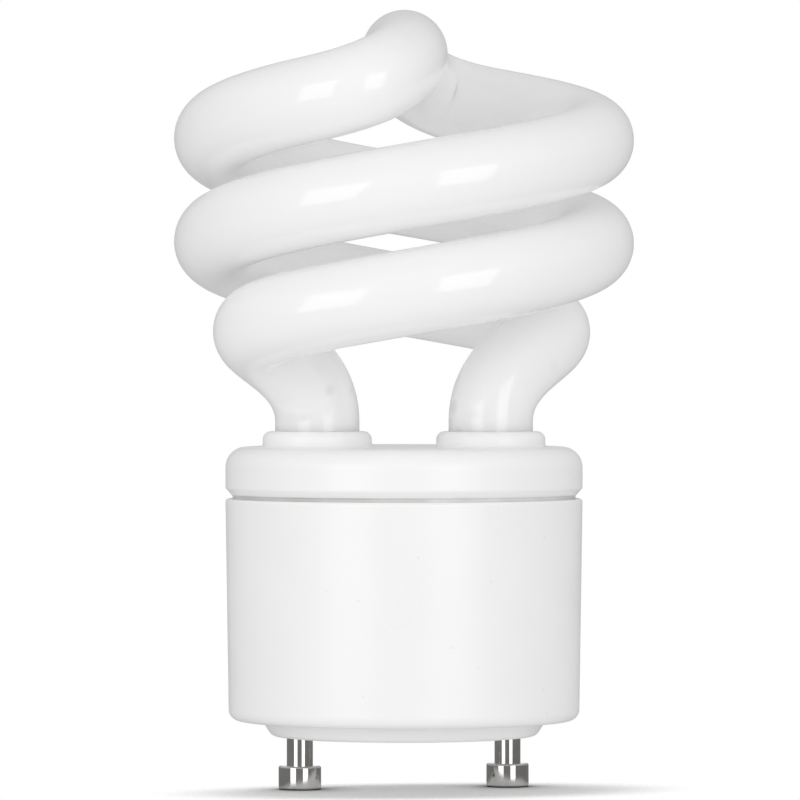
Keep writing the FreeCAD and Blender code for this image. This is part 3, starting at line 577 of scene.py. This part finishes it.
# enamelled copper, one band for each turn of wire
copperFinish = {
    "shadow": (0.20, 0.07, 0.025),
    "low": (0.62, 0.27, 0.11),
    "high": (0.75, 0.36, 0.17),
    "chokeWire": 0.0003,  # diameters
    "ringWire": 0.0005,
    "ringTurns": (150.0, 90.0, 30.0),  # degrees, so that the turns of wire lie along the ring
    "waveStep": 20.0,  # radians in a metre of wave texture at scale 1
    "wobble": 0.4,
    "grainScale": 1500.0,
    "blotchScale": 350.0,
    "roughness": (0.18, 0.32),
    "metallic": 0.85,
    "enamel": 0.5,
    "bumpStrength": 0.6,
}


def makeCopper(name, wireDiameter, turn):
    material, tree, shader = startMaterial(name)
    bands = 2 * math.pi / copperFinish["waveStep"] / wireDiameter
    turns = addRings(tree, bands, copperFinish["wobble"], math.radians(turn))
    colour = mixColours(tree, turns, copperFinish["shadow"], addCloudyColour(tree, copperFinish))
    connect(tree, colour, shader.inputs["Base Color"])
    grain = addGrain(tree, copperFinish["grainScale"])
    connect(tree, remap(tree, grain, *copperFinish["roughness"]), shader.inputs["Roughness"])
    shader.inputs["Metallic"].default_value = copperFinish["metallic"]
    shader.inputs["Coat Weight"].default_value = copperFinish["enamel"]
    addBump(tree, shader, turns, copperFinish["bumpStrength"], wireDiameter / 2)
    return material


# bulk capacitor: dark shrunk sleeve with one pale stripe, bare can at the free end
canFinish = {
    "low": (0.012, 0.022, 0.05),
    "high": (0.025, 0.04, 0.085),
    "stripe": (0.62, 0.64, 0.66),
    "stripeShare": 0.80,
    "stripeSoft": 0.0001,
    "stripeSide": (0.0, -1.0, 0.0),
    "can": (0.70, 0.70, 0.71),
    "rimShare": 0.78,
    "bareDepth": 0.0003,
    "leadLevel": 0.02736,
    "grainScale": 1200.0,
    "blotchScale": 180.0,
    "roughness": (0.16, 0.30),
    "bump": (0.25, 0.00008),
}


def makeCan():
    material, tree, shader = startMaterial("canSleeve")
    low, high = (Vector(corner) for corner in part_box("bulk_capacitor"))
    centre, radius = (low + high) / 2, (high.x - low.x) / 2
    blotch = addBlotches(tree, canFinish["blotchScale"])
    sleeve = mixColours(tree, blotch, canFinish["low"], canFinish["high"])
    stripeLevel = -centre.y + radius * canFinish["stripeShare"]
    stripe = beyond(tree, stripeLevel, canFinish["stripeSoft"], canFinish["stripeSide"])
    striped = mixColours(tree, stripe, sleeve, canFinish["stripe"])
    end = beyond(tree, -low.z - canFinish["bareDepth"], way=downward)
    rim = outsideColumn(tree, centre, radius * canFinish["rimShare"])
    bare = multiply(tree, end, invert(tree, rim))
    colour = mixColours(tree, bare, striped, canFinish["can"])
    metal = larger(tree, bare, beyond(tree, canFinish["leadLevel"]))
    grain = addGrain(tree, canFinish["grainScale"])
    finishWithLeads(tree, shader, metal, colour, remap(tree, grain, *canFinish["roughness"]))
    addBump(tree, shader, blotch, *canFinish["bump"])
    return material


# dipped capacitors: glossy coat with an orange peel skin
dipFinish = {
    "low": (0.30, 0.055, 0.02),
    "high": (0.44, 0.10, 0.045),
    "grainScale": 900.0,
    "blotchScale": 220.0,
    "roughness": (0.12, 0.24),
    "peel": (0.35, 0.00006),
    "leadLevel": 0.02730,
}


def makeDipped():
    material, tree, shader = startMaterial("dippedCoat")
    grain = addGrain(tree, dipFinish["grainScale"])
    roughness = remap(tree, grain, *dipFinish["roughness"])
    leads = beyond(tree, dipFinish["leadLevel"])
    finishWithLeads(tree, shader, leads, addCloudyColour(tree, dipFinish), roughness)
    addBump(tree, shader, grain, *dipFinish["peel"])
    return material


# transistor: fine matt epoxy, a metal plate on one face, tinned leads
caseFinish = {
    "low": (0.022, 0.022, 0.024),
    "high": (0.038, 0.038, 0.041),
    "plateDepth": 0.00004,
    "plateSoft": 0.00002,
    "plateSide": (-1.0, 0.0, 0.0),
    "leadLevel": 0.02492,
    "grainScale": 3800.0,
    "blotchScale": 400.0,
    "roughness": (0.48, 0.68),
    "bump": (0.25, 0.00002),
}


def makeTransistor():
    material, tree, shader = startMaterial("epoxyCase")
    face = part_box("transistor_1")[0][0]
    plateLevel = -face - caseFinish["plateDepth"]
    plate = beyond(tree, plateLevel, caseFinish["plateSoft"], caseFinish["plateSide"])
    metal = larger(tree, plate, beyond(tree, caseFinish["leadLevel"]))
    grain = addGrain(tree, caseFinish["grainScale"])
    roughness = remap(tree, grain, *caseFinish["roughness"])
    finishWithLeads(tree, shader, metal, addCloudyColour(tree, caseFinish), roughness)
    addBump(tree, shader, grain, *caseFinish["bump"])
    return material


# parts that stand on end with one lead folded down beside the body
axialFinish = {
    "top": 0.02645,
    "bandSoft": 0.00004,
    "leadFactor": 1.02,  # what lies outside this many radii is the folded lead
    "grainScale": 2600.0,
    "bump": (0.2, 0.00002),
}
diodeFinish = {
    "low": (0.02, 0.02, 0.022),
    "high": (0.035, 0.035, 0.037),
    "blotchScale": 450.0,
    "radius": 0.0012,
    "length": 0.0052,
    "bands": [(0.0007, 0.0014, (0.62, 0.62, 0.60))],
    "roughness": (0.32, 0.5),
}
fuseFinish = {
    "low": (0.20, 0.31, 0.27),
    "high": (0.27, 0.39, 0.34),
    "blotchScale": 450.0,
    "radius": 0.0016,
    "length": 0.0080,
    "bands": [
        (0.0010, 0.0018, (0.20, 0.07, 0.02)),
        (0.0025, 0.0033, (0.015, 0.015, 0.016)),
        (0.0040, 0.0048, (0.012, 0.012, 0.013)),
        (0.0062, 0.0070, (0.50, 0.36, 0.08)),
    ],
    "roughness": (0.40, 0.58),
}


def makeAxial(name, finish, centre):
    material, tree, shader = startMaterial(name)
    top, soft = axialFinish["top"], axialFinish["bandSoft"]
    colour = addCloudyColour(tree, finish)
    for start, stop, paint in finish["bands"]:  # measured down from the upper end
        below = beyond(tree, start - top, soft, downward)
        above = beyond(tree, top - stop, soft)
        colour = mixColours(tree, multiply(tree, below, above), colour, paint)
    aside = outsideColumn(tree, centre, finish["radius"] * axialFinish["leadFactor"])
    ends = larger(tree, beyond(tree, top), beyond(tree, finish["length"] - top, way=downward))
    grain = addGrain(tree, axialFinish["grainScale"])
    roughness = remap(tree, grain, *finish["roughness"])
    finishWithLeads(tree, shader, larger(tree, aside, ends), colour, roughness)
    addBump(tree, shader, grain, *axialFinish["bump"])
    return material


def makeDiode(node):
    low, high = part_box(node)
    centre = ((low[0] + high[0]) / 2, high[1] - diodeFinish["radius"])
    return makeAxial(node + "Coat", diodeFinish, centre)


def makeFuse():
    low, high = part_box("fuse_resistor")
    centre = (low[0] + fuseFinish["radius"], (low[1] + high[1]) / 2)
    return makeAxial("resistorCoat", fuseFinish, centre)


# mains lead: soft insulation with bare tinned ends
leadFinish = {
    "low": (0.03, 0.03, 0.033),
    "high": (0.06, 0.06, 0.064),
    "sleeve": (0.0114, 0.02775),  # lower and upper end
    "grainScale": 1700.0,
    "blotchScale": 300.0,
    "roughness": (0.36, 0.52),
    "bump": (0.25, 0.00003),
}


def makeMainsLead():
    material, tree, shader = startMaterial("wireSleeve")
    grain = addGrain(tree, leadFinish["grainScale"])
    bottom, top = leadFinish["sleeve"]
    bare = larger(tree, beyond(tree, top), beyond(tree, -bottom, way=downward))
    roughness = remap(tree, grain, *leadFinish["roughness"])
    finishWithLeads(tree, shader, bare, addCloudyColour(tree, leadFinish), roughness)
    addBump(tree, shader, grain, *leadFinish["bump"])
    return material


finishes = {
    "tube_glass": makeTubeGlass(),
    "white_plastic": makeWhitePlastic(),
    "pin_metal": makePinMetal(),
    "cement": makeCement(),
    "ferrite": makeFerrite(),
    "bobbin_plastic": makeBobbin(),
    "board_laminate": makeBoard(),
    "copper_wire": makeCopper("chokeCopper", copperFinish["chokeWire"], 0.0),
    "can_sleeve": makeCan(),
    "capacitor_coat": makeDipped(),
    "case_black": makeTransistor(),
    "resistor_coat": makeFuse(),
    "wire_sleeve": makeMainsLead(),
    "post_steel": makeTinnedWire(),
}
# nodes whose finish follows their own place
ownFinishes = {node: makeDiode(node) for node in frame["nodes"] if node.startswith("rectifier_diode_")}
for number, turn in enumerate(copperFinish["ringTurns"], start=1):
    ownFinishes[f"ring_winding_{number}"] = makeCopper(f"ringCopper{number}", copperFinish["ringWire"], turn)
for node, piece in frame["nodes"].items():
    piece.data.materials.clear()
    piece.data.materials.append(ownFinishes.get(node, finishes[slotOf[node]]))
print("finishes on", len(frame["nodes"]), "nodes")

# camera, as far away and as high as the photograph needs
view = {
    "turn": math.radians(-12.0),
    "distance": 0.8,
    "height": 0.052,
    "pixelsPerMetre": 8850.0,
    "frameWidth": 800,
    "axisPixel": 404.0,
    "floorPixel": 788.3,
    "sensorWidth": 36.0,
}
rightward = Vector((math.cos(view["turn"]), math.sin(view["turn"]), 0))
forward = Vector((-math.sin(view["turn"]), math.cos(view["turn"]), 0))


def addCamera():
    middle = view["frameWidth"] / 2
    aside = (middle - view["axisPixel"]) / view["pixelsPerMetre"]
    level = (view["floorPixel"] - middle) / view["pixelsPerMetre"]
    place = Vector((0, 0, view["height"])) - forward * view["distance"]
    aim = rightward * aside + Vector((0, 0, level)) - place
    bpy.ops.object.camera_add(location=place, rotation=aim.to_track_quat("-Z", "Y").to_euler())
    camera = bpy.context.object
    camera.data.sensor_width = view["sensorWidth"]
    frameSize = view["frameWidth"] / view["pixelsPerMetre"]
    camera.data.lens = view["sensorWidth"] * view["distance"] / frameSize
    bpy.context.scene.camera = camera


addCamera()
print("camera placed")

# two soft boxes, one each side of the camera, aimed at the middle of the lamp
lamps = {
    "leftBox": {"side": -36.5, "rise": 8.5, "distance": 0.6, "size": (0.33, 0.39), "radiance": 1.8},
    "rightBox": {"side": 30.5, "rise": 8.5, "distance": 0.6, "size": (0.30, 0.39), "radiance": 1.9},
}
target = Vector((0, 0, 0.05))


def addLamp(name, side, rise, distance, size, radiance):
    turn, lift = math.radians(side), math.radians(rise)
    level = rightward * math.sin(turn) - forward * math.cos(turn)
    offset = (level * math.cos(lift) + Vector((0, 0, math.sin(lift)))) * distance
    spin = (-offset).to_track_quat("-Z", "Y").to_euler()
    bpy.ops.object.light_add(type="AREA", location=target + offset, rotation=spin)
    lamp = bpy.context.object
    lamp.name = name
    lamp.visible_camera = False
    lamp.data.shape = "RECTANGLE"
    lamp.data.size, lamp.data.size_y = size
    lamp.data.energy = radiance * math.pi * size[0] * size[1]


for name, setting in lamps.items():
    addLamp(name, **setting)

# world: even fill light, white behind the object
backdrop = {
    "fillBelow": 0.71,
    "fillAbove": 0.65,
    "fillBehind": 0.2,  # more fill from the far side, so that the back isn't dull
    "studio": 0.22,  # what shiny surfaces mirror
    "ceiling": 0.6,
    "ceilingFrom": 0.5,
    "white": 1.0,
    "edge": (0.992, 0.998),  # of the white that is mirrored, as cosines of its angle
}


# rays that come from the camera, and those that mirror or pass through something
def addRays(tree):
    rays = addNode(tree, "ShaderNodeLightPath")
    shiny = larger(tree, rays.outputs["Is Glossy Ray"], rays.outputs["Is Transmission Ray"])
    return rays.outputs["Is Camera Ray"], shiny


def makeWorld():
    world = bpy.data.worlds.new("studioWorld")
    world.use_nodes = True
    bpy.context.scene.world = world
    tree = world.node_tree
    tree.nodes.clear()
    place = addNode(tree, "ShaderNodeTexCoord")
    split = addNode(tree, "ShaderNodeSeparateXYZ")
    connect(tree, place.outputs["Generated"], split.inputs["Vector"])
    fill = addNode(tree, "ShaderNodeMapRange")
    fill.inputs["From Min"].default_value = -1.0
    fill.inputs["To Min"].default_value = backdrop["fillBelow"]
    fill.inputs["To Max"].default_value = backdrop["fillAbove"]
    connect(tree, split.outputs["Z"], fill.inputs["Value"])
    facing = addNode(tree, "ShaderNodeVectorMath", operation="DOT_PRODUCT")
    facing.inputs[1].default_value = forward
    connect(tree, place.outputs["Generated"], facing.inputs[0])
    far = remap(tree, facing.outputs["Value"], 0.0, backdrop["fillBehind"])
    above = addNode(tree, "ShaderNodeMapRange")
    above.inputs["From Max"].default_value = backdrop["ceilingFrom"]
    above.inputs["To Min"].default_value = backdrop["studio"]
    above.inputs["To Max"].default_value = backdrop["ceiling"]
    connect(tree, split.outputs["Z"], above.inputs["Value"])
    mirrored = addNode(tree, "ShaderNodeMapRange")
    mirrored.inputs["From Min"].default_value, mirrored.inputs["From Max"].default_value = backdrop["edge"]
    mirrored.inputs["To Max"].default_value = backdrop["white"]
    connect(tree, above.outputs["Result"], mirrored.inputs["To Min"])
    connect(tree, facing.outputs["Value"], mirrored.inputs["Value"])
    fromCamera, shiny = addRays(tree)
    allFill = combine(tree, "ADD", fill.outputs["Result"], far)
    level = mixValues(tree, shiny, allFill, mirrored.outputs["Result"])
    light = addNode(tree, "ShaderNodeBackground")
    light.inputs["Color"].default_value = (1, 1, 1, 1)
    connect(tree, mixValues(tree, fromCamera, level, backdrop["white"]), light.inputs["Strength"])
    end = addNode(tree, "ShaderNodeOutputWorld")
    connect(tree, light.outputs["Background"], end.inputs["Surface"])


makeWorld()
print("lamps and world set")

# floor: pale, keeps the shadow and fades into the white round it
floorSize = {
    "radius": 0.040,
    "corners": 64,
    "level": 0.00003,  # a hair above the pin ends, so that they stay clear from below
    "centre": (0.001, -0.0065, 0.0),
    "spread": (1.0, 1.9, 1.0),  # the pale patch is wide along the pins and shallow across them
    "fade": (0.017, 0.032),
    "colour": 0.88,
    "seen": 0.84,
    "contactReach": 0.005,  # painted contact shade: the floor's colour darkens where the pins stand
    "contactShare": (-0.5, 1.0),
    "contactSamples": 16,
}


# 0 on the pale patch, 1 where the floor has faded or is seen from below
def addFloorFade(tree):
    place = addNode(tree, "ShaderNodeTexCoord")
    offset = addNode(tree, "ShaderNodeVectorMath", operation="SUBTRACT")
    offset.inputs[1].default_value = floorSize["centre"]
    connect(tree, place.outputs["Object"], offset.inputs[0])
    stretch = addNode(tree, "ShaderNodeVectorMath", operation="MULTIPLY")
    stretch.inputs[1].default_value = floorSize["spread"]
    connect(tree, offset.outputs["Vector"], stretch.inputs[0])
    reach = addNode(tree, "ShaderNodeVectorMath", operation="LENGTH")
    connect(tree, stretch.outputs["Vector"], reach.inputs[0])
    fade = ramp(tree, reach.outputs["Value"], *floorSize["fade"])
    sides = addNode(tree, "ShaderNodeNewGeometry")
    return larger(tree, fade, sides.outputs["Backfacing"])


def makeFloorFinish():
    material = bpy.data.materials.new("paleFloor")
    material.use_nodes = True
    tree = material.node_tree
    tree.nodes.clear()
    fromCamera, shiny = addRays(tree)
    tone = mixValues(tree, larger(tree, fromCamera, shiny), floorSize["colour"], floorSize["seen"])
    # painted contact shade: ambient occlusion darkens the floor's colour at the pins
    contact = addNode(tree, "ShaderNodeAmbientOcclusion", samples=floorSize["contactSamples"])
    contact.inputs["Distance"].default_value = floorSize["contactReach"]
    shade = remap(tree, contact.outputs["AO"], *floorSize["contactShare"])
    surface = addNode(tree, "ShaderNodeBsdfDiffuse")
    connect(tree, multiply(tree, tone, shade), surface.inputs["Color"])
    clear = addNode(tree, "ShaderNodeBsdfTransparent")
    blend = addNode(tree, "ShaderNodeMixShader")
    connect(tree, addFloorFade(tree), blend.inputs["Fac"])
    connect(tree, surface.outputs["BSDF"], blend.inputs[1])
    connect(tree, clear.outputs["BSDF"], blend.inputs[2])
    end = addNode(tree, "ShaderNodeOutputMaterial")
    connect(tree, blend.outputs["Shader"], end.inputs["Surface"])
    return material


def addFloor():
    bpy.ops.object.select_all(action="DESELECT")
    bpy.ops.mesh.primitive_circle_add(vertices=floorSize["corners"], radius=floorSize["radius"],
                                      fill_type="NGON", location=(0, 0, floorSize["level"]))
    floor = bpy.context.object
    floor.name = "studioFloor"
    floor.data.materials.append(makeFloorFinish())


addFloor()
print("floor laid")

lightPaths = {"bounces": 24, "diffuse": 16}  # so that light reaches deep between the white turns
bpy.context.scene.cycles.max_bounces = lightPaths["bounces"]
bpy.context.scene.cycles.diffuse_bounces = lightPaths["diffuse"]
bpy.context.scene.view_settings.view_transform = "Standard"
